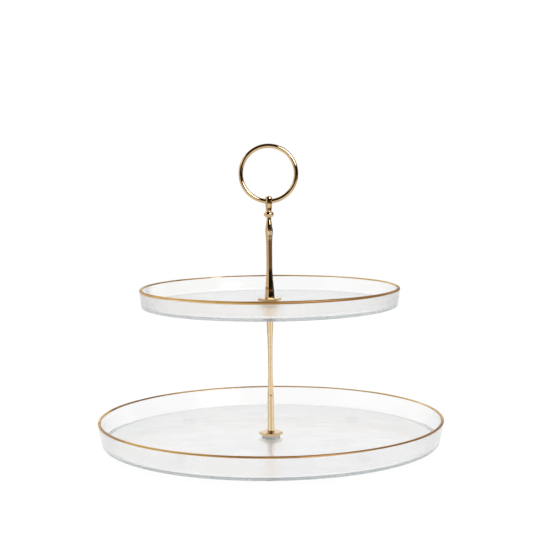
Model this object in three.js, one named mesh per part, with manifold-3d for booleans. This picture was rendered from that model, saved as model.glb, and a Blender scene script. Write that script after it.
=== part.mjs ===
// Two-tier cake stand: two round glass dishes clamped on a six-sided brass rod, with a ring to carry it by.
// Millimetres. +Z is up, the table is z = 0 and the rod stands on the Z axis. The ring lies in the XZ plane.
import * as THREE from "three";
import { mergeVertices } from "three/addons/utils/BufferGeometryUtils.js";
import Module from "manifold-3d";

// Thicknesses of the stack, from the table up
const FOOT_HEIGHT = 4.8;
const GLASS = 2.6; // floor of either dish
const TOP_WASHER = 1.8; // soft, between a dish and the flange on it
const UNDER_WASHER = 0.8; // soft, under a dish
const METAL_WASHER = 1.0;
const FLANGE = 2.6;
const LOWER_ROD_LENGTH = 116.7;
const UPPER_ROD_LENGTH = 74.6;
const BEAD_HEIGHT = 5.4;
const HEAD_HEIGHT = 14.5;

// Dishes: radius over the lip, how far the lip stands out past the underside, height from underside to lip
const LOWER_DISH = { radius: 160, flare: 4.2, height: 21.2 };
const UPPER_DISH = { radius: 120, flare: 2.1, height: 17.1 };
const DISH_HOLE = 8;
const LIP = 2.8; // thickness of the wall
const HEEL = 1.5; // radius of the outer corner under the wall
const FILLET = 4; // radius of the inner corner between floor and wall
const GILT = 0.2; // thickness of the gilt band over the lip
const GILT_DEPTH = 1.9; // how far the band reaches down the wall
const GILT_GAP = 0.03;

// Hardware
// Degrees that each six-sided piece stands turned: they screw tight at different angles
const TURN = { lowerFlange: -1.5, lowerRod: 5, upperFlange: 7, upperRod: 17 };
const FLANGE_WIDTH = 22; // over the corners
const LOWER_ROD_WIDTH = 7.2; // over the corners, at the foot
const UPPER_ROD_WIDTH = 9.6;
const BEAD_RADIUS = 4.75;
const HEAD_RADIUS = 3.5;
const EYE_HEIGHT = 9.3; // from the bottom of the head to the ring's wire
const RING_DIAMETER = 55; // outside
const WIRE = 4.2;
const EYE_CLEARANCE = 0.1;
const THREAD = 4; // diameter of the base screw and of the handle's stud
const THREAD_CLEARANCE = 0.05;
const THREAD_GRIP = 9.4; // how far each goes into the lower rod
const STUD_GRIP = 12; // how far the stud goes into the upper rod
const HOLE_DEPTH = 1; // past the end of what goes in
const SHANK = 3; // diameter of the head's shank, through the bead into the upper rod
const SHANK_LENGTH = 12;
const WASHER_CLEARANCE = 0.3;
const SOFT_WASHER_WIDTH = 17;
const METAL_WASHER_WIDTH = 14;
const SCREW_HEAD = { width: 8, height: 2, slot: 1.1 };
const THREAD_CHAMFER = 0.5;
const FOOT = { width: 12, radius: 115, count: 4 };

// Heights of the faces that the pieces share
const LOWER_DISH_Z = FOOT_HEIGHT;
const LOWER_FLOOR_Z = LOWER_DISH_Z + GLASS;
const LOWER_FLANGE_Z = LOWER_FLOOR_Z + TOP_WASHER;
const LOWER_ROD_Z = LOWER_FLANGE_Z + FLANGE;
const CAP_WASHER_Z = LOWER_ROD_Z + LOWER_ROD_LENGTH;
const UPPER_DISH_Z = CAP_WASHER_Z + METAL_WASHER + UNDER_WASHER;
const UPPER_FLOOR_Z = UPPER_DISH_Z + GLASS;
const UPPER_FLANGE_Z = UPPER_FLOOR_Z + TOP_WASHER;
const UPPER_ROD_Z = UPPER_FLANGE_Z + FLANGE;
const BEAD_Z = UPPER_ROD_Z + UPPER_ROD_LENGTH;
const HEAD_Z = BEAD_Z + BEAD_HEIGHT;
const EYE_Z = HEAD_Z + EYE_HEIGHT;
const RING_RADIUS = (RING_DIAMETER - WIRE) / 2; // to the middle of the wire

const BRASS = { color: 0xd8b46a, roughness: 0.16, metalness: 1 };
const GILDING = { color: 0xb98a3c, roughness: 0.35, metalness: 1 };
const CLEAR_GLASS = { color: 0xe4ecec, roughness: 0.05, metalness: 0, transparent: true, opacity: 0.45 };
const SOFT_PLASTIC = { color: 0xe8e8e2, roughness: 0.4, metalness: 0 };
const ZINC = { color: 0xb9bbbd, roughness: 0.3, metalness: 1 };

const wasm = await Module();
wasm.setup();
const group = new THREE.Group();

function add(name, geometry, look) {
  const mesh = new THREE.Mesh(geometry, new THREE.MeshStandardMaterial(look));
  mesh.name = name;
  group.add(mesh);
  return mesh;
}

// A body of revolution about Z. The profile lists [radius, height] up the outside.
function turned(profile, sides, start = 0) {
  const points = profile.map(([r, z]) => new THREE.Vector2(r, z));
  return new THREE.LatheGeometry(points, sides, start).rotateX(Math.PI / 2);
}

// The same with six flat sides, turned by some degrees from where two corners point along X.
const sixSided = (profile, turn) => turned(profile, 6, Math.PI / 6 + THREE.MathUtils.degToRad(turn));

// Points along a quarter or other part of a circle in the profile's plane, angles in degrees.
function arc(r, z, radius, from, to, steps) {
  return Array.from({ length: steps + 1 }, (_, i) => {
    const a = THREE.MathUtils.degToRad(from + ((to - from) * i) / steps);
    return [r + radius * Math.cos(a), z + radius * Math.sin(a)];
  });
}

function toSolid(geometry) {
  const bare = geometry.clone();
  bare.deleteAttribute("normal");
  bare.deleteAttribute("uv");
  const merged = mergeVertices(bare, 1e-4);
  return new wasm.Manifold(
    new wasm.Mesh({
      numProp: 3,
      vertProperties: merged.attributes.position.array,
      triVerts: new Uint32Array(merged.index.array),
    }),
  );
}

// The geometry with each cutter taken out of it.
function cut(geometry, ...cutters) {
  const mesh = cutters.reduce((left, c) => left.subtract(toSolid(c)), toSolid(geometry)).getMesh();
  const made = new THREE.BufferGeometry();
  made.setAttribute("position", new THREE.BufferAttribute(mesh.vertProperties, 3));
  made.setIndex(new THREE.BufferAttribute(mesh.triVerts, 1));
  made.computeVertexNormals();
  return made;
}

// A round pin or drill between two heights.
const PIN_SIDES = 24;
function pin(radius, bottom, top) {
  return new THREE.CylinderGeometry(radius, radius, top - bottom, PIN_SIDES)
    .rotateX(Math.PI / 2)
    .translate(0, 0, (top + bottom) / 2);
}

// A drill whose flats, not its corners, are at the radius.
const drill = (radius, bottom, top) => pin(radius / Math.cos(Math.PI / PIN_SIDES), bottom, top);

const threadHole = THREAD / 2 + THREAD_CLEARANCE; // radius

function washer(name, bottom, thickness, width, look) {
  const inner = THREAD / 2 + WASHER_CLEARANCE;
  const profile = [
    [inner, bottom],
    [width / 2, bottom],
    [width / 2, bottom + thickness],
    [inner, bottom + thickness],
    [inner, bottom],
  ];
  add(name, turned(profile, 32), look);
}

// ---- Feet, four clear bumpers stuck under the lower dish ----
function foot(name, angle) {
  const r = FOOT.width / 2;
  const profile = [
    [0, 0],
    [r * 0.68, 0],
    ...arc(r * 0.68, r * 0.32, r * 0.32, -60, 0, 2),
    [r, FOOT_HEIGHT],
    [0, FOOT_HEIGHT],
  ];
  add(
    name,
    turned(profile, 20).translate(FOOT.radius * Math.cos(angle), FOOT.radius * Math.sin(angle), 0),
    SOFT_PLASTIC,
  );
}
const corners = ["back_right", "back_left", "front_left", "front_right"];
for (let i = 0; i < FOOT.count; i++) {
  foot("bumper_foot_" + corners[i], ((i + 0.5) * 2 * Math.PI) / FOOT.count);
}

// ---- Dishes, slumped glass: a flat floor and a low wall that leans out, gilt over the lip ----
const DISH_SIDES = 64;

// Middle of the lip's half circle, and the wall's outer radius at a height: the wall leans out evenly.
function wall(size, bottom) {
  const middle = [size.radius - LIP / 2, bottom + size.height - LIP / 2];
  const lean = size.flare / (middle[1] - bottom);
  return { middle, outside: (z) => size.radius - (middle[1] - z) * lean };
}

function dish(name, size, bottom) {
  const { middle, outside } = wall(size, bottom);
  const floor = bottom + GLASS;
  const base = outside(bottom + HEEL);
  const inside = outside(floor + FILLET) - LIP;
  const profile = [
    [DISH_HOLE / 2, bottom],
    ...arc(base - HEEL, bottom + HEEL, HEEL, -90, 0, 3),
    ...arc(...middle, LIP / 2, 0, 180, 4),
    ...arc(inside - FILLET, floor + FILLET, FILLET, 0, -90, 4),
    [DISH_HOLE / 2, floor],
    [DISH_HOLE / 2, bottom],
  ];
  add(name, turned(profile, DISH_SIDES), CLEAR_GLASS);
}

function giltBand(name, size, bottom) {
  const { middle, outside } = wall(size, bottom);
  const start = bottom + size.height - GILT_DEPTH;
  const face = outside(start);
  const inner = LIP / 2 + GILT_GAP;
  const outer = inner + GILT;
  const profile = [
    [face + GILT_GAP + GILT, start],
    ...arc(...middle, outer, 0, 180, 4),
    [face - LIP - GILT_GAP - GILT, start],
    [face - LIP - GILT_GAP, start],
    ...arc(...middle, inner, 180, 0, 4),
    [face + GILT_GAP, start],
    [face + GILT_GAP + GILT, start],
  ];
  add(name, turned(profile, DISH_SIDES), GILDING);
}

dish("lower_dish", LOWER_DISH, LOWER_DISH_Z);
giltBand("lower_dish_gilt_rim", LOWER_DISH, LOWER_DISH_Z);
dish("upper_dish", UPPER_DISH, UPPER_DISH_Z);
giltBand("upper_dish_gilt_rim", UPPER_DISH, UPPER_DISH_Z);

// ---- Base screw, with its washers, through the lower dish into the rod ----
function baseScrew() {
  const washerZ = LOWER_DISH_Z - UNDER_WASHER - METAL_WASHER;
  const headZ = washerZ - SCREW_HEAD.height;
  const end = LOWER_ROD_Z + THREAD_GRIP;
  const r = SCREW_HEAD.width / 2;
  const profile = [
    [0, headZ],
    [r * 0.75, headZ],
    ...arc(r * 0.75, headZ + r * 0.25, r * 0.25, -60, 0, 2),
    [r, washerZ],
    [THREAD / 2, washerZ],
    [THREAD / 2, end - THREAD_CHAMFER],
    [THREAD / 2 - THREAD_CHAMFER, end],
    [0, end],
  ];
  const slot = (turn) =>
    new THREE.BoxGeometry(SCREW_HEAD.width * 0.55, SCREW_HEAD.slot, 2).rotateZ(turn).translate(0, 0, headZ);
  add("base_screw", cut(turned(profile, 32), slot(0), slot(Math.PI / 2)), ZINC);
  washer("base_metal_washer", washerZ, METAL_WASHER, METAL_WASHER_WIDTH, ZINC);
  washer("lower_dish_under_washer", LOWER_DISH_Z - UNDER_WASHER, UNDER_WASHER, SOFT_WASHER_WIDTH, SOFT_PLASTIC);
}
baseScrew();
washer("lower_dish_top_washer", LOWER_FLOOR_Z, TOP_WASHER, SOFT_WASHER_WIDTH, SOFT_PLASTIC);

// ---- Six-sided flanges, which press on the dishes' floors ----
function flange(name, bottom, turn) {
  const r = FLANGE_WIDTH / 2;
  const bevel = FLANGE * 0.15;
  const profile = [
    [0, bottom],
    [r - bevel, bottom],
    [r, bottom + bevel],
    [r, bottom + FLANGE - bevel],
    [r - bevel, bottom + FLANGE],
    [0, bottom + FLANGE],
  ];
  add(name, cut(sixSided(profile, turn), drill(threadHole, bottom - 1, bottom + FLANGE + 1)), BRASS);
}
flange("lower_flange", LOWER_FLANGE_Z, TURN.lowerFlange);
flange("upper_flange", UPPER_FLANGE_Z, TURN.upperFlange);

// ---- Rods, cast with six flat sides and a slim waist. Each pair is [share of length, share of width]. ----
function rodProfile(bottom, length, width, shape) {
  const side = shape.map(([along, across]) => [(width / 2) * across, bottom + length * along]);
  return [[0, bottom], ...side, [0, bottom + length]];
}

function lowerRod() {
  const shape = [
    [0, 1], [0.027, 0.99], [0.06, 0.91], [0.09, 0.875], [0.15, 0.835], [0.21, 0.87], [0.25, 0.86],
    [0.31, 0.81], [0.345, 0.74], [0.41, 0.655], [0.44, 0.62], [0.63, 0.62], [0.7, 0.665], [0.76, 0.71],
    [0.8, 0.8], [0.86, 0.86], [0.93, 0.96], [1, 1.02],
  ];
  const profile = rodProfile(LOWER_ROD_Z, LOWER_ROD_LENGTH, LOWER_ROD_WIDTH, shape);
  const bottomHole = drill(threadHole, LOWER_ROD_Z - 1, LOWER_ROD_Z + THREAD_GRIP + HOLE_DEPTH);
  const topHole = drill(threadHole, CAP_WASHER_Z - THREAD_GRIP - HOLE_DEPTH, CAP_WASHER_Z + 1);
  add("lower_rod", cut(sixSided(profile, TURN.lowerRod), bottomHole, topHole), BRASS);
}

const STUD_TOP = UPPER_ROD_Z + STUD_GRIP;

function upperRod() {
  const shape = [
    [0, 1], [0.02, 0.98], [0.1, 0.9], [0.155, 0.83], [0.22, 0.74], [0.3, 0.65], [0.37, 0.61],
    [0.6, 0.61], [0.69, 0.63], [0.79, 0.72], [0.84, 0.79], [0.875, 0.815], [0.91, 0.76], [0.95, 0.65],
    [0.98, 0.57], [1, 0.57],
  ];
  const profile = rodProfile(UPPER_ROD_Z, UPPER_ROD_LENGTH, UPPER_ROD_WIDTH, shape);
  const studHole = drill(threadHole, UPPER_ROD_Z - 1, STUD_TOP + HOLE_DEPTH);
  const shankHole = drill(SHANK / 2 + THREAD_CLEARANCE, HEAD_Z - SHANK_LENGTH - HOLE_DEPTH, BEAD_Z + 1);
  add("upper_rod", cut(sixSided(profile, TURN.upperRod), studHole, shankHole), BRASS);
}
lowerRod();
upperRod();

// ---- Joint between the tiers: cap washer, soft washers, and the stud that the handle screws down with ----
washer("rod_cap_washer", CAP_WASHER_Z, METAL_WASHER, METAL_WASHER_WIDTH, BRASS);
washer("upper_dish_under_washer", UPPER_DISH_Z - UNDER_WASHER, UNDER_WASHER, SOFT_WASHER_WIDTH, SOFT_PLASTIC);
washer("upper_dish_top_washer", UPPER_FLOOR_Z, TOP_WASHER, SOFT_WASHER_WIDTH, SOFT_PLASTIC);

function handleStud() {
  const r = THREAD / 2;
  const bottom = CAP_WASHER_Z - THREAD_GRIP;
  const profile = [
    [0, bottom],
    [r - THREAD_CHAMFER, bottom],
    [r, bottom + THREAD_CHAMFER],
    [r, STUD_TOP - THREAD_CHAMFER],
    [r - THREAD_CHAMFER, STUD_TOP],
    [0, STUD_TOP],
  ];
  add("handle_stud", turned(profile, 24), ZINC);
}
handleStud();

// ---- Head of the handle: a bead, and a turned head with the eye that the ring hangs in ----
function bead() {
  const inner = SHANK / 2 + THREAD_CLEARANCE * 2;
  const side = [
    [0, 0.6], [0.08, 0.75], [0.2, 0.88], [0.36, 0.965], [0.55, 1],
    [0.74, 0.95], [0.88, 0.82], [0.96, 0.68], [1, 0.56],
  ].map(([up, out]) => [BEAD_RADIUS * out, BEAD_Z + BEAD_HEIGHT * up]);
  const profile = [[inner, BEAD_Z], ...side, [inner, HEAD_Z], [inner, BEAD_Z]];
  add("bead_collar", turned(profile, 24), BRASS);
}
bead();

// The wire bows away from a straight line through the eye, so the bore leaves room for the bow.
const eyeRadius =
  WIRE / 2 + RING_RADIUS - Math.sqrt(RING_RADIUS ** 2 - HEAD_RADIUS ** 2) + EYE_CLEARANCE;

function head() {
  const side = [
    [0, 0.7], [0.04, 0.72], [0.055, 0.81], [0.12, 0.82], [0.26, 0.86], [0.42, 0.94], [0.5, 1], [0.8, 1],
    [0.87, 0.95], [0.92, 0.82], [0.955, 0.6], [0.975, 0.32], [0.99, 0.2],
  ].map(([up, out]) => [HEAD_RADIUS * out, HEAD_Z + HEAD_HEIGHT * up]);
  const profile = [
    [0, HEAD_Z - SHANK_LENGTH],
    [SHANK / 2, HEAD_Z - SHANK_LENGTH],
    [SHANK / 2, HEAD_Z],
    ...side,
    [0, HEAD_Z + HEAD_HEIGHT],
  ];
  const eye = drill(eyeRadius, -HEAD_RADIUS - 1, HEAD_RADIUS + 1).rotateY(Math.PI / 2).translate(0, 0, EYE_Z);
  add("ring_head", cut(turned(profile, 24), eye), BRASS);
}
head();

// ---- Ring, standing up in the eye ----
add(
  "handle_ring",
  new THREE.TorusGeometry(RING_RADIUS, WIRE / 2, 12, 60)
    .rotateX(Math.PI / 2)
    .translate(0, 0, EYE_Z + RING_RADIUS),
  BRASS,
);

export default group;
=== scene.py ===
import math

import bmesh
import bpy
from mathutils import Matrix, Vector, noise


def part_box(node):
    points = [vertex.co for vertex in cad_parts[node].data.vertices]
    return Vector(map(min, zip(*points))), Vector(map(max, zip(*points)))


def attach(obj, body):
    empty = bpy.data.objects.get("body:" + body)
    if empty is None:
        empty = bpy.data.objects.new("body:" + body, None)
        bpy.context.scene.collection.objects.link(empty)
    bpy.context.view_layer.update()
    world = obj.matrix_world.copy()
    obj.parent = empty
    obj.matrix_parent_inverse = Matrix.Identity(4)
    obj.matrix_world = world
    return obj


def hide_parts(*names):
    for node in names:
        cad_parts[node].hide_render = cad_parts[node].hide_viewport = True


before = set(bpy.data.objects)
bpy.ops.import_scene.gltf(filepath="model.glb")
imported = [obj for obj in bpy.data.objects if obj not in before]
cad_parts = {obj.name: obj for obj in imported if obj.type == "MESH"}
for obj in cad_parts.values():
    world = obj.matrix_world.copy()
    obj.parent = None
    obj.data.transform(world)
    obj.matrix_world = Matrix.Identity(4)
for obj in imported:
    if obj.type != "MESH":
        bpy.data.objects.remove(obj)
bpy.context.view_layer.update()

# ---- Camera ----
# A long lens level with the ring, looking down by five degrees and rolled by a hair. Light may go
# through many surfaces, because the dishes put a dozen layers of glass one behind another.
LENS, FRAMING = 86.1, -0.0053
DISTANCE, HEIGHT = 1.172, 0.268
DOWN, ROLL = 4.953, -0.58

camera = bpy.data.objects.new("camera", bpy.data.cameras.new("camera"))
camera.data.lens = LENS
camera.data.shift_x = FRAMING
camera.matrix_world = (
    Matrix.Translation((0, -DISTANCE, HEIGHT))
    @ Matrix.Rotation(math.radians(90 - DOWN), 4, "X")
    @ Matrix.Rotation(math.radians(ROLL), 4, "Z")
)
bpy.context.collection.objects.link(camera)
bpy.context.scene.camera = camera
bpy.context.scene.view_settings.view_transform = "Standard"
light_paths = bpy.context.scene.cycles
light_paths.max_bounces = 32
light_paths.glossy_bounces = 24
light_paths.transmission_bounces = 24


# ---- Studio ----
# A white sweep behind and below, a pale card at the left, a soft box up at the right, and the dark
# room around them, which only shows as reflections in the polished metal and the glass.
class Shade:
    """One output of a finish's nodes. Arithmetic on it adds Math nodes."""

    def __init__(self, finish, socket):
        self.finish = finish
        self.socket = socket

    def maths(self, operation, *values):
        return self.finish.node("Math", {"operation": operation}, dict(enumerate(values)))

    def __add__(self, other):
        return self.maths("ADD", self, other)

    __radd__ = __add__

    def __sub__(self, other):
        return self.maths("SUBTRACT", self, other)

    def __rsub__(self, other):
        return self.maths("SUBTRACT", other, self)

    def __mul__(self, other):
        return self.maths("MULTIPLY", self, other)

    __rmul__ = __mul__

    def __truediv__(self, other):
        return self.maths("DIVIDE", self, other)

    def __neg__(self):
        return self.maths("MULTIPLY", self, -1)

    def __abs__(self):
        return self.maths("ABSOLUTE", self)

    def rise(self, low, high):
        """0 below low, 1 above high, and an easy slope between."""
        return self.finish.node(
            "MapRange",
            {"interpolation_type": "SMOOTHSTEP"},
            {"Value": self, "From Min": low, "From Max": high},
        )


class Finish:
    """The nodes of one material, or of the studio's surroundings."""

    def __init__(self, owner):
        owner.use_nodes = True
        self.owner = owner
        self.tree = owner.node_tree
        self.tree.nodes.clear()

    def node(self, kind, settings=None, inputs=None, output=0):
        """Adds a node: its settings first, then values or links, and gives one of its outputs."""
        made = self.tree.nodes.new("ShaderNode" + kind)
        settings = dict(settings or {})
        stops = settings.pop("stops", None)
        for key, value in settings.items():
            setattr(made, key, value)
        if stops:
            ramp = made.color_ramp.elements
            while len(ramp) < len(stops):
                ramp.new(0.5)
            for element, (place, colour) in zip(ramp, stops):
                element.position = place
                element.color = colour
        for key, value in (inputs or {}).items():
            if isinstance(value, Shade):
                self.tree.links.new(value.socket, made.inputs[key])
            else:
                made.inputs[key].default_value = value
        return Shade(self, made.outputs[output] if made.outputs else None)

    def tint(self, colour, amount):
        return self.node("VectorMath", {"operation": "SCALE"}, {0: colour, "Scale": amount})

    def dot(self, direction, towards):
        """1 where direction points towards, down to 0 at a right angle to it."""
        towards = Vector(towards).normalized()
        inputs = {0: direction, 1: towards}
        return self.node("VectorMath", {"operation": "DOT_PRODUCT"}, inputs, "Value")

    def after(self, kind):
        """1 for light that has met a reflection (Glossy) or gone into glass (Transmission)."""
        return self.node("LightPath", output=kind + " Depth").rise(0.4, 0.6)


def studio():
    world = bpy.data.worlds.new("studio")
    bpy.context.scene.world = world
    around = Finish(world)
    direction = around.node("TexCoord", output="Generated")
    side, back, up = (
        around.node("SeparateXYZ", inputs={0: direction}, output=axis) for axis in "XYZ"
    )
    white, glaring, grey = (1.0, 1.0, 1.0), (6.0, 6.0, 6.0), (0.5, 0.5, 0.5)
    cream, brown, dark = (0.70, 0.66, 0.60), (0.16, 0.115, 0.08), (0.012, 0.010, 0.008)
    soft_box_at, left_glow_at = (0.557, -0.663, 0.5), (-0.6, 0.5, 0.62)
    kept_in_glass = 0.07

    # The sweep has a dark slot at the right, and the card stands beside it, not behind.
    slot = 1 - side.rise(0.3, 0.42) + side.rise(0.52, 0.6)
    sweep = around.tint(white, back.rise(0.35, 0.5) * slot * up.rise(-0.3, -0.1))
    beside = (-side).rise(0.62, 0.85) * (1 - back.rise(0.35, 0.5))
    left_card = around.tint(cream, beside * (1 - up.rise(0.3, 0.55)))
    soft_box = around.tint(glaring, around.dot(direction, soft_box_at).rise(0.93, 0.945))
    desk = around.tint(brown, (-up).rise(0.02, 0.07) * (-back).rise(0.3, 0.6))
    left_glow = around.tint(grey, around.dot(direction, left_glow_at).rise(0.9, 0.97))
    reflected = dark
    for part in (sweep, left_card, soft_box, desk, left_glow):
        reflected = around.node("VectorMath", {"operation": "ADD"}, {0: reflected, 1: part})

    # Straight ahead all is white. The room shows in reflections, and hardly in those inside glass.
    shows = around.after("Glossy") * (1 - (1 - kept_in_glass) * around.after("Transmission"))
    colour = around.node(
        "Mix",
        {"data_type": "RGBA"},
        {"Factor": shows, 6: (1, 1, 1, 1), 7: reflected},
        2,
    )
    glow = around.node("Background", inputs={"Color": colour, "Strength": 1.0})
    around.node("OutputWorld", inputs={"Surface": glow})


def sweep_floor():
    bm = bmesh.new()
    bmesh.ops.create_circle(bm, cap_ends=True, segments=96, radius=1.12)
    mesh = bpy.data.meshes.new("floor")
    bm.to_mesh(mesh)
    bm.free()
    floor = bpy.data.objects.new("floor", mesh)
    bpy.context.collection.objects.link(floor)
    paper = Finish(bpy.data.materials.new("white_paper"))
    where = paper.node("TexCoord", output="Object")
    grain = paper.node("TexNoise", inputs={"Vector": where, "Scale": 40.0})
    aside = abs(paper.node("SeparateXYZ", inputs={0: where}, output="X")).rise(0.15, 0.6)
    matt = paper.node(
        "BsdfPrincipled",
        inputs={
            "Base Color": (0.08, 0.08, 0.08, 1),
            "Roughness": 0.85 + 0.1 * grain,
            "Specular IOR Level": 0.0,
            "Emission Color": paper.tint((1, 1, 1), 1 - 0.3 * paper.after("Glossy") * aside),
            "Emission Strength": 0.94,
        },
    )
    paper.node("OutputMaterial", inputs={"Surface": matt})
    mesh.materials.append(paper.owner)


def round_lamp(name, place, size, power):
    lamp = bpy.data.objects.new(name, bpy.data.lights.new(name, "AREA"))
    lamp.data.shape = "DISK"
    lamp.data.size = size
    lamp.data.energy = power
    lamp.location = place
    middle_of_stand = Vector((0, 0, 0.15))
    aim = middle_of_stand - Vector(place)
    lamp.rotation_euler = aim.to_track_quat("-Z", "Y").to_euler()
    bpy.context.collection.objects.link(lamp)


studio()
sweep_floor()
round_lamp("key_light", (0.85, -1.0, 0.9), size=0.3, power=2)
round_lamp("fill_light", (-1.0, -0.4, 0.8), size=0.5, power=1)

# ---- Bumper feet ----
# Four clear soft domes of cast plastic, stuck under the lower dish. They hold the glass and the
# screw's head off the table.
MM = 0.001


def put(name, bm, body, finish, node):
    """A finished piece from its mesh: smooth, riding on its body, in place of its CAD node."""
    bmesh.ops.recalc_face_normals(bm, faces=bm.faces)
    mesh = bpy.data.meshes.new(name)
    bm.to_mesh(mesh)
    bm.free()
    mesh.shade_smooth()
    mesh.materials.append(finish)
    piece = bpy.data.objects.new(name, mesh)
    bpy.context.collection.objects.link(piece)
    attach(piece, body)
    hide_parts(node)
    return piece


def turn(outline, sides, centre=(0, 0), wobble=None):
    """A body turned about an upright axis, from an outline of (radius, height).

    An outline that starts on the axis ends there too, and any other closes on itself.
    """
    bm = bmesh.new()
    rows = []
    for radius, height in outline:
        if radius == 0:
            rows.append([bm.verts.new((*centre, height))])
            continue
        row = []
        for i in range(sides):
            angle = math.tau * i / sides
            r, z = wobble(angle, radius, height) if wobble else (radius, height)
            x, y = centre[0] + r * math.cos(angle), centre[1] + r * math.sin(angle)
            row.append(bm.verts.new((x, y, z)))
        rows.append(row)
    on_axis = outline[0][0] == 0
    pairs = list(zip(rows, rows[1:])) + ([] if on_axis else [(rows[-1], rows[0])])
    for low, high in pairs:
        for i in range(sides):
            j = (i + 1) % sides
            if len(low) == 1:
                bm.faces.new((low[0], high[j], high[i]))
            elif len(high) == 1:
                bm.faces.new((low[i], low[j], high[0]))
            else:
                bm.faces.new((low[i], low[j], high[j], high[i]))
    return bm


def arc(centre, radius, start, end, steps):
    """Points along part of a circle, angles in degrees."""
    angles = (math.radians(start + (end - start) * i / steps) for i in range(steps + 1))
    return [(centre[0] + radius * math.cos(a), centre[1] + radius * math.sin(a)) for a in angles]


def bumper_finish():
    milky, clear = (0.93, 0.94, 0.94, 1), (0.99, 0.99, 0.99, 1)
    bumper = Finish(bpy.data.materials.new("clear_bumper"))
    where = bumper.node("TexCoord", output="Object")
    cloud = bumper.node("TexNoise", inputs={"Vector": where, "Scale": 900.0, "Detail": 3.0})
    tint = bumper.node("ValToRGB", {"stops": [(0.3, milky), (0.7, clear)]}, {"Fac": cloud})
    bump = bumper.node("Bump", inputs={"Strength": 0.1, "Distance": 0.0001, "Height": cloud})
    soft = bumper.node(
        "BsdfPrincipled",
        inputs={
            "Base Color": tint,
            "Roughness": 0.1 + 0.15 * cloud,
            "IOR": 1.3,
            "Transmission Weight": 1.0,
            "Normal": bump,
        },
    )
    bumper.node("OutputMaterial", inputs={"Surface": soft})
    return bumper.owner


def bumper_feet():
    finish = bumper_finish()
    under_glass, edge = 0.06 * MM, 0.2 * MM
    for node in sorted(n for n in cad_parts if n.startswith("bumper_foot_")):
        low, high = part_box(node)
        middle = (low + high) / 2
        radius = (high.x - low.x) / 2
        height = high.z - low.z - under_glass
        crown = 0.32 * radius
        dome = arc((radius - crown, crown), crown, -90, 0, 8)
        rim = [(radius, height - edge), (radius - edge, height)]
        foot = turn([(0, 0), *dome, *rim, (0, height)], 48, (middle.x, middle.y))
        put(node + "_dome", foot, "base", finish, node)


bumper_feet()

# ---- Glass dishes ----
# Clear plates slumped in a mould: a flat floor, a tight heel and a low wall that leans out to a
# round lip. The fire leaves the surface faintly uneven, and the glass is a little blue where one
# looks along it.
WALL = 2.8 * MM
FLOOR = 2.6 * MM
HEEL = 1.5 * MM
FILLET = 2.5 * MM
HOLE = 4 * MM
LEANS_OUT = {"lower_dish": 4.2 * MM, "upper_dish": 2.1 * MM}
SEED = {"lower_dish": 3.0, "upper_dish": 8.0}
UNEVEN = 0.25 * MM
INWARD = 0.6


def glass_finish():
    warm, cool = (0.985, 0.98, 0.97, 1), (0.98, 0.98, 0.99, 1)
    glass = Finish(bpy.data.materials.new("dish_glass"))
    where = glass.node("TexCoord", output="Object")
    stretched = glass.node("Mapping", inputs={"Vector": where, "Scale": (1, 1, 9)})
    ripple = glass.node("TexNoise", inputs={"Vector": stretched, "Scale": 28.0, "Detail": 2.0})
    specks = glass.node("TexVoronoi", inputs={"Vector": where, "Scale": 60.0}, output="Distance")
    pits = 1 - specks.rise(0.01, 0.03)
    wave = glass.node(
        "Bump",
        inputs={"Strength": 0.1, "Distance": 0.0016, "Height": ripple + 0.02 * pits},
    )
    patches = glass.node("TexNoise", inputs={"Vector": where, "Scale": 7.0})
    tone = glass.node("ValToRGB", {"stops": [(0.35, warm), (0.65, cool)]}, {"Fac": patches})
    body = glass.node(
        "BsdfPrincipled",
        {"distribution": "MULTI_GGX"},
        {
            "Base Color": tone,
            "Roughness": 0.13 + 0.1 * ripple,
            "IOR": 1.45,
            "Transmission Weight": 1.0,
            "Normal": wave,
        },
    )
    sea_blue = (0.62, 0.80, 0.86, 1)
    depth = glass.node("VolumeAbsorption", inputs={"Color": sea_blue, "Density": 1.8})
    # Metal beside the glass mirrors it as plain clear glass, so that the room still shows in it.
    clear = glass.node("BsdfTransparent", inputs={"Color": (0.95, 0.96, 0.96, 1)})
    in_metal = glass.after("Glossy") * (1 - glass.after("Transmission"))
    surface = glass.node("MixShader", inputs={0: in_metal, 1: body, 2: clear})
    glass.node("OutputMaterial", inputs={"Surface": surface, "Volume": depth})
    return glass.owner


def hand_made(amount, seed):
    """A slow unevenness around the rim, the same for every point at one angle."""
    waves = 1.6

    def shift(angle):
        place = Vector((waves * math.cos(angle), waves * math.sin(angle), seed))
        return amount * noise.noise(place)

    return shift


def between(start, end, shares):
    """Points on a straight line, each at its share of the way."""
    (x, y), (far_x, far_y) = start, end
    return [(x + t * (far_x - x), y + t * (far_y - y)) for t in shares]


def dish_outline(node):
    low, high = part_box(node)
    radius = high.x
    lip = (radius - WALL / 2, high.z - WALL / 2)
    lean = LEANS_OUT[node] / (lip[1] - low.z)

    def outside(z):
        return radius - (lip[1] - z) * lean

    base = outside(low.z + HEEL)
    inside = outside(low.z + FLOOR + FILLET) - WALL
    floor = low.z + FLOOR
    heel = arc((base - HEEL, low.z + HEEL), HEEL, -90, 0, 8)
    over = arc(lip, WALL / 2, 0, 180, 12)
    fillet = arc((inside - FILLET, floor + FILLET), FILLET, 0, -90, 10)
    up_wall = between(heel[-1], (radius, lip[1]), (0.05, 0.3, 0.6, 0.9))
    down_wall = between(over[-1], fillet[0], (0.1, 0.4, 0.7, 0.95))
    out = [(r, low.z) for r in (HOLE, HOLE + 1 * MM, 0.3 * base, 0.6 * base, 0.9 * base)]
    back = [(r, floor) for r in (0.9 * inside, 0.6 * inside, 0.3 * inside, HOLE + 1 * MM, HOLE)]
    return [*out, *heel, *up_wall, *over, *down_wall, *fillet, *back]


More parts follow.
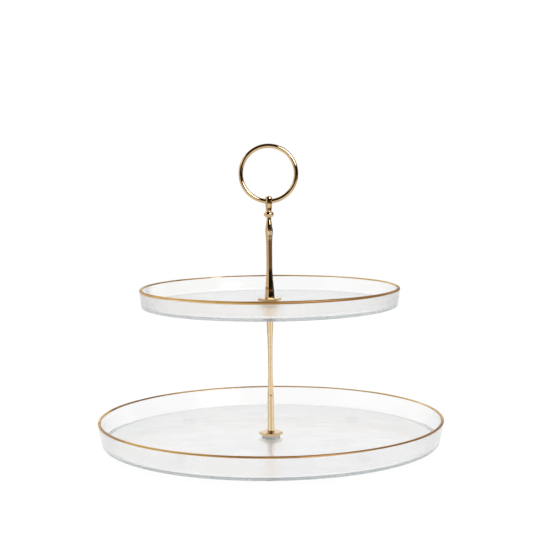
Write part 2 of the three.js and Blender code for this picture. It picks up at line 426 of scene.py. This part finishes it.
def dish(node, finish):
    low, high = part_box(node)
    shift = hand_made(UNEVEN, SEED[node])

    def wobble(angle, radius, height):
        """The unevenness grows from nothing at the floor to all of it at the lip."""
        share = max(0.0, (height - low.z) / (high.z - low.z)) ** 2
        drop = abs(shift(angle)) * share
        return radius - drop * INWARD, height - drop * share

    bowl = turn(dish_outline(node), 192, wobble=wobble)
    put(node + "_glass", bowl, "base", finish, node)


dish_glass = glass_finish()
dish("lower_dish", dish_glass)
dish("upper_dish", dish_glass)

# ---- Gilt rims ----
# Liquid gold brushed on over the lip by hand and fired. The edge of the brush wanders, the coat is
# thin in places, and it is darker where it is thick.
BAND = 1.7 * MM
BRUSH_WANDERS = 0.5 * MM
COAT = 0.2 * MM
OFF_GLASS = 0.03 * MM


def gilt_finish(name, crown, pale_spots, seed):
    bare_gold, thin_gold = (0.86, 0.67, 0.46, 1), (0.68, 0.43, 0.14, 1)
    full_gold, thick_gold = (0.58, 0.34, 0.09, 1), (0.34, 0.17, 0.05, 1)
    # The rim's colour is made paler towards the back right and darker towards the front right, by
    # direction alone.
    paler_direction, darker_direction = (0.72, 0.70, 0), (0.6, -0.8, 0)
    gilt = Finish(bpy.data.materials.new(name))
    where = gilt.node("TexCoord", output="Object")
    moved = gilt.node("Mapping", inputs={"Vector": where, "Location": (seed, 0, 0)})
    slow = gilt.node("TexNoise", inputs={"Vector": moved, "Scale": 14.0, "Detail": 2.0})
    fine = gilt.node("TexNoise", inputs={"Vector": moved, "Scale": 240.0, "Detail": 4.0})
    outward = gilt.node("VectorMath", {"operation": "MULTIPLY"}, {0: where, 1: (1, 1, 0)})
    outward = gilt.node("VectorMath", {"operation": "NORMALIZE"}, {0: outward})
    # The colour is made paler towards the back right and at the listed spots, and darker towards
    # the front right, by direction alone.
    paler_mask = gilt.dot(outward, paler_direction).rise(0.7, 0.96)
    darker_mask = gilt.dot(outward, darker_direction).rise(0.5, 0.9)
    height = gilt.node("SeparateXYZ", inputs={0: where}, output="Z")
    on_top = height.rise(crown - 1.6 * MM, crown - 0.4 * MM)
    coat = slow + 0.2 * (fine - 0.5) + 0.12 * darker_mask - 0.2 * paler_mask + 0.16 * on_top
    for side, back, edge in pale_spots:
        coat = coat - 0.35 * gilt.dot(outward, (side, back, 0)).rise(edge, 0.4 * edge + 0.6)
    stops = [(0.28, bare_gold), (0.40, thin_gold), (0.55, full_gold), (0.72, thick_gold)]
    colour = gilt.node("ValToRGB", {"stops": stops}, {"Fac": coat})
    bump = gilt.node("Bump", inputs={"Strength": 0.25, "Distance": 0.0002, "Height": fine})
    skin = gilt.node(
        "BsdfPrincipled",
        inputs={
            "Base Color": colour,
            "Metallic": 0.5,
            "Roughness": 0.32 + 0.2 * fine,
            "Normal": bump,
        },
    )
    gilt.node("OutputMaterial", inputs={"Surface": skin})
    return gilt.owner


def gilt_rim(dish_node, front_width, pale_spots):
    """The band over one lip. It is wider at the front, and the last argument gives the directions
    in which its colour is made paler.
    """
    low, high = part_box(dish_node)
    half = WALL / 2
    lip = (high.x - half, high.z - half)
    lean = LEANS_OUT[dish_node] / (lip[1] - low.z)
    quarter = half * math.pi / 2
    seed = SEED[dish_node]
    shift = hand_made(UNEVEN, seed)
    brush = hand_made(BRUSH_WANDERS, seed + 20)

    def on_lip(along, off):
        """A point off the lip's skin: along is from the crown, down the outside or (minus) in."""
        lean_over = max(-quarter, min(quarter, along)) / half
        down = max(0.0, abs(along) - quarter)
        reach = half + off
        out = lip[0] + reach * math.sin(lean_over) - down * lean
        return out, lip[1] + reach * math.cos(lean_over) - down

    bm = bmesh.new()
    rows = []
    sides, steps = 256, 14
    for i in range(sides):
        angle = math.tau * i / sides
        front = 0.5 - 0.5 * math.sin(angle)
        outside = BAND + front_width * front + brush(angle)
        inside = BAND + 0.3 * MM * front + 0.6 * brush(angle + 2)
        along = [-inside + (inside + outside) * k / steps for k in range(steps + 1)]
        thick = [COAT * min(1.0, 3 * k * (steps - k) / steps**2 + 0.2) for k in range(steps + 1)]
        over = [on_lip(a, OFF_GLASS + t) for a, t in zip(along, thick)]
        under = [on_lip(a, OFF_GLASS) for a in reversed(along)]
        drop = abs(shift(angle))
        section = [(r - drop * INWARD, z - drop) for r, z in (*over, *under)]
        across, away = math.cos(angle), math.sin(angle)
        rows.append([bm.verts.new((r * across, r * away, z)) for r, z in section])
    for i, row in enumerate(rows):
        following = rows[(i + 1) % sides]
        for k in range(len(row)):
            m = (k + 1) % len(row)
            bm.faces.new((row[k], following[k], following[m], row[m]))
    node = dish_node + "_gilt_rim"
    gold_skin = gilt_finish(node + "_gold", high.z, pale_spots, seed)
    put(node + "_band", bm, "base", gold_skin, node)


# Each band's colour is made paler towards the left, and the upper band's colour also towards the
# back left.
gilt_rim("lower_dish", 0.3 * MM, [(-1, 0.06, 0.98)])
gilt_rim("upper_dish", 1.4 * MM, [(-1, 0.06, 0.985), (-0.45, 0.89, 0.998)])

# ---- Base screw, stud and washers ----
# Zinc-plated steel: an M4 pan head screw and its washer under the lower dish, and the stud inside
# the handle. Soft plastic washers on both sides of each dish keep the metal off the glass.


def zinc_finish():
    dull_zinc, bright_zinc = (0.42, 0.43, 0.45, 1), (0.62, 0.63, 0.62, 1)
    steel = Finish(bpy.data.materials.new("zinc_plate"))
    where = steel.node("TexCoord", output="Object")
    grain = steel.node("TexNoise", inputs={"Vector": where, "Scale": 1400.0, "Detail": 5.0})
    cloud = steel.node("TexNoise", inputs={"Vector": where, "Scale": 160.0})
    stops = [(0.3, dull_zinc), (0.7, bright_zinc)]
    bump = steel.node("Bump", inputs={"Strength": 0.2, "Distance": 0.00005, "Height": grain})
    plate = steel.node(
        "BsdfPrincipled",
        inputs={
            "Base Color": steel.node("ValToRGB", {"stops": stops}, {"Fac": cloud}),
            "Metallic": 1.0,
            "Roughness": 0.28 + 0.2 * grain,
            "Normal": bump,
        },
    )
    steel.node("OutputMaterial", inputs={"Surface": plate})
    return steel.owner


def soft_finish():
    greyish, whitish = (0.72, 0.73, 0.72, 1), (0.82, 0.82, 0.81, 1)
    soft = Finish(bpy.data.materials.new("soft_washer"))
    where = soft.node("TexCoord", output="Object")
    cloud = soft.node("TexNoise", inputs={"Vector": where, "Scale": 500.0, "Detail": 4.0})
    stops = [(0.3, greyish), (0.7, whitish)]
    bump = soft.node("Bump", inputs={"Strength": 0.15, "Distance": 0.0001, "Height": cloud})
    plastic = soft.node(
        "BsdfPrincipled",
        inputs={
            "Base Color": soft.node("ValToRGB", {"stops": stops}, {"Fac": cloud}),
            "Roughness": 0.25 + 0.2 * cloud,
            "IOR": 1.4,
            "Transmission Weight": 0.25,
            "Normal": bump,
        },
    )
    soft.node("OutputMaterial", inputs={"Surface": plastic})
    return soft.owner


def washer(node, body, finish):
    low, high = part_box(node)
    outer, hole = (high.x - low.x) / 2, 2.3 * MM
    edge, inner_edge = 0.2 * MM, 0.1 * MM
    clear = 0.02 * MM
    bottom, top = low.z + clear, high.z - clear
    outline = [
        (hole, bottom + inner_edge), (hole + inner_edge, bottom),
        (outer - edge, bottom), (outer, bottom + edge),
        (outer, top - edge), (outer - edge, top),
        (hole + inner_edge, top), (hole, top - inner_edge),
    ]
    put(node + "_disc", turn(outline, 64), body, finish, node)


zinc = zinc_finish()
soft_plastic = soft_finish()
for name in ("base_screw", "handle_stud"):
    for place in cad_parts[name].material_slots:
        place.material = zinc
washer("base_metal_washer", "base", zinc)
for name in ("lower_dish_under_washer", "lower_dish_top_washer", "upper_dish_under_washer"):
    washer(name, "base", soft_plastic)
washer("upper_dish_top_washer", "turning_washer", soft_plastic)

# ---- Rods and flanges ----
# Cast six-sided, polished and plated in a light gold. The edges are softened by the polishing, and
# the flats are not quite true. The lower rod is bored at both ends for the screw and the stud.
LOWER_TURNED, UPPER_TURNED = 5, 17
EDGE = 0.28 * MM
# How wide a rod is along its height, as shares: (height, width).
LOWER_SHAPE = [
    (0, 1), (0.027, 0.99), (0.06, 0.91), (0.09, 0.875), (0.15, 0.835), (0.21, 0.87),
    (0.25, 0.86), (0.31, 0.81), (0.345, 0.74), (0.41, 0.655), (0.44, 0.62), (0.63, 0.62),
    (0.7, 0.665), (0.76, 0.71), (0.8, 0.8), (0.86, 0.86), (0.93, 0.96), (1, 1.02),
]
UPPER_SHAPE = [
    (0, 1), (0.02, 0.98), (0.1, 0.9), (0.155, 0.83), (0.22, 0.74), (0.3, 0.65), (0.37, 0.61),
    (0.6, 0.61), (0.69, 0.63), (0.79, 0.72), (0.84, 0.79), (0.875, 0.815), (0.91, 0.76),
    (0.95, 0.65), (0.98, 0.57), (1, 0.57),
]


def gold_finish(name, edges_at=None, dull=0.03):
    """Gold plate. A rod gives the turn of its edges, in degrees, along which a highlight is painted
    lighter into the colour.
    """
    deep_gold, light_gold = (0.67, 0.46, 0.235, 1), (0.74, 0.53, 0.30, 1)
    # The lightest colour is a painted highlight for the rod's edges.
    painted_edge_highlight = (0.93, 0.73, 0.46, 1)
    gold = Finish(bpy.data.materials.new(name))
    where = gold.node("TexCoord", output="Object")
    long_way = gold.node("Mapping", inputs={"Vector": where, "Scale": (1, 1, 0.35)})
    swell = gold.node("TexNoise", inputs={"Vector": long_way, "Scale": 110.0, "Detail": 1.0})
    smear = gold.node("TexNoise", inputs={"Vector": where, "Scale": 420.0, "Detail": 5.0})
    tone = smear
    if edges_at is not None:
        x, y = (gold.node("SeparateXYZ", inputs={0: where}, output=axis) for axis in "XY")
        angle = gold.node("Math", {"operation": "ARCTAN2"}, {0: y, 1: x})
        sixth = (angle - math.radians(edges_at)) / math.radians(60)
        past = gold.node("Math", {"operation": "FRACT"}, {0: sixth})
        # Painted highlight: the colour turns lighter near each edge of the six sides, where the
        # edges catch the light.
        tone = smear + 0.5 * (2 * abs(past - 0.5)).rise(0.4, 0.7)
    stops = [(0.3, deep_gold), (0.7, light_gold), (1.0, painted_edge_highlight)]
    bump = gold.node(
        "Bump",
        inputs={"Strength": 0.12, "Distance": 0.0006, "Height": swell + 0.02 * smear},
    )
    plate = gold.node(
        "BsdfPrincipled",
        inputs={
            "Base Color": gold.node("ValToRGB", {"stops": stops}, {"Fac": tone}),
            "Metallic": 1.0,
            "Roughness": dull + 0.06 * smear,
            "Coat Weight": 0.5,
            "Normal": bump,
        },
    )
    gold.node("OutputMaterial", inputs={"Surface": plate})
    return gold.owner


def six_sided(half, corner, turned):
    """A six-sided section with rounded corners. Half is from the axis to a sharp corner."""
    flat = half * math.cos(math.radians(30))
    corner = min(corner, flat * 0.97)
    at = (flat - corner) / math.cos(math.radians(30))
    corners = []
    for k in range(6):
        middle = 60 * k - 60 + turned
        centre = (at * math.cos(math.radians(middle)), at * math.sin(math.radians(middle)))
        corners.append(arc(centre, corner, middle - 30, middle + 30, 4))
    points = []
    for this, following in zip(corners, corners[1:] + corners[:1]):
        points += [*this, *between(this[-1], following[0], (0.05, 0.5, 0.95))]
    return points


def loft(sections):
    """A closed body through flat sections, each (points, height), with flat ends."""
    inset = 0.94
    first, last = (
        ([(inset * x, inset * y) for x, y in points], z)
        for points, z in (sections[0], sections[-1])
    )
    bm = bmesh.new()
    rows = [
        [bm.verts.new((x, y, z)) for x, y in points] for points, z in (first, *sections, last)
    ]
    for low, high in zip(rows, rows[1:]):
        for i in range(len(low)):
            j = (i + 1) % len(low)
            bm.faces.new((low[i], low[j], high[j], high[i]))
    bm.faces.new(rows[0][::-1])
    bm.faces.new(rows[-1])
    return bm


def eased(points, steps):
    """A smooth run through (place, size) pairs."""
    run = []
    padded = [points[0], *points, points[-1]]
    for a, b, c, d in zip(padded, padded[1:], padded[2:], padded[3:]):
        for i in range(steps):
            t = i / steps
            size = 0.5 * (
                2 * b[1]
                + (c[1] - a[1]) * t
                + (2 * a[1] - 5 * b[1] + 4 * c[1] - d[1]) * t**2
                + (3 * b[1] - a[1] - 3 * c[1] + d[1]) * t**3
            )
            run.append((b[0] + t * (c[0] - b[0]), size))
    return [*run, points[-1]]


def bore(piece, radius, depth, place):
    """A round hole cut in a piece: depth is the drill's whole length, and place is its middle."""
    drill = bmesh.new()
    bmesh.ops.create_cone(
        drill, cap_ends=True, segments=64, radius1=radius, radius2=radius, depth=depth
    )
    bmesh.ops.transform(drill, matrix=place, verts=drill.verts)
    tool = bpy.data.objects.new("drill", bpy.data.meshes.new("drill"))
    drill.to_mesh(tool.data)
    drill.free()
    bpy.context.collection.objects.link(tool)
    cut = piece.modifiers.new("bore", "BOOLEAN")
    cut.object = tool
    cut.solver = "EXACT"
    evaluated = piece.evaluated_get(bpy.context.evaluated_depsgraph_get())
    shaped = bpy.data.meshes.new_from_object(evaluated)
    piece.modifiers.clear()
    piece.data = shaped
    bpy.data.objects.remove(tool)


def rod(node, body, width, turned, shape, finish, round_from=2.0):
    """A six-sided bar of this width at its foot. Above round_from of its height it goes round."""
    low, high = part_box(node)
    sections = []
    for along, across in eased(shape, 6):
        half = width / 2 * across
        roundness = min(1.0, max(0.0, (along - round_from) / 0.05))
        corner = EDGE + roundness * (0.9 * half - EDGE)
        outline = six_sided(half * (1 - 0.05 * roundness), corner, turned)
        sections.append((outline, low.z + along * (high.z - low.z)))
    return put(node + "_bar", loft(sections), body, finish, node)


def flange(node, body, turned, finish):
    low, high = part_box(node)
    half, corner, edge = 11 * MM, 0.5 * MM, 0.35 * MM
    steps = [(edge, 0), (edge * 0.3, edge * 0.3), (0, edge), (0, edge * 1.2)]
    up_side = [(inset, low.z + up) for inset, up in steps]
    down_side = [(inset, high.z - up) for inset, up in steps[::-1]]
    sections = [(six_sided(half - inset, corner, turned), z) for inset, z in up_side + down_side]
    put(node + "_plate", loft(sections), body, finish, node)


gold = gold_finish("gold_plate")
satin_gold = gold_finish("gold_flange", dull=0.2)
washer("rod_cap_washer", "base", gold)
flange("lower_flange", "base", -1.5, satin_gold)
lower_gold = gold_finish("gold_lower_rod", LOWER_TURNED)
lower_rod = rod("lower_rod", "base", 7.2 * MM, LOWER_TURNED, LOWER_SHAPE, lower_gold)
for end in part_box("lower_rod"):
    bore(lower_rod, 2.05 * MM, 20 * MM, Matrix.Translation((0, 0, end.z)))
flange("upper_flange", "handle", 7, satin_gold)
upper_gold = gold_finish("gold_upper_rod", UPPER_TURNED)
rod("upper_rod", "handle", 9.6 * MM, UPPER_TURNED, UPPER_SHAPE, upper_gold, round_from=0.84)

# ---- Bead and head ----
# Turned from the same brass and plated with the rods: a round bead, and over it a head with a
# small pointed tip, bored across for the ring.


def bead():
    low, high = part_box("bead_collar")
    radius, height, hole = (high.x - low.x) / 2, high.z - low.z, 1.6 * MM
    side = [
        (0, 0.6), (0.08, 0.75), (0.2, 0.88), (0.36, 0.965), (0.55, 1), (0.74, 0.95),
        (0.88, 0.82), (0.96, 0.68), (1, 0.56),
    ]
    outline = [(radius * out, low.z + height * up) for up, out in eased(side, 4)]
    ball = turn([(hole, low.z), *outline, (hole, high.z)], 96)
    put("bead", ball, "handle", gold, "bead_collar")


def head():
    low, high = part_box("ring_head")
    height, radius, shank = 14.5 * MM, (high.x - low.x) / 2, 1.5 * MM
    eye, eye_up = 2.44 * MM, 9.3 * MM
    bottom = high.z - height
    side = [
        (0, 0.7), (0.04, 0.72), (0.055, 0.81), (0.12, 0.82), (0.26, 0.86), (0.42, 0.94),
        (0.5, 1), (0.8, 1), (0.87, 0.95), (0.92, 0.82), (0.955, 0.6), (0.975, 0.32), (0.99, 0.2),
    ]
    turned_side = [(radius * out, bottom + height * up) for up, out in eased(side, 4)]
    outline = [(0, low.z), (shank, low.z), (shank, bottom), *turned_side, (0, high.z)]
    knob = put("head", turn(outline, 96), "handle", gold, "ring_head")
    sideways = Matrix.Rotation(math.radians(90), 4, "Y")
    bore(knob, eye, 10 * MM, Matrix.Translation((0, 0, bottom + eye_up)) @ sideways)


bead()
head()

# ---- Ring ----
# Round brass wire bent to a hoop, brazed shut and plated with the rest. It swings in the head's
# eye, and stands up at rest.


def ring():
    low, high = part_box("handle_ring")
    wire = (high.y - low.y) / 2
    hoop = (high.x - low.x) / 2 - wire
    bm = turn(arc((hoop, 0), wire, 0, 360, 48)[:-1], 240)
    upright = Matrix.Rotation(math.radians(90), 4, "X")
    stand = Matrix.Translation((0, 0, (low.z + high.z) / 2)) @ upright
    bmesh.ops.transform(bm, matrix=stand, verts=bm.verts)
    put("hoop", bm, "ring", gold, "handle_ring")


ring()
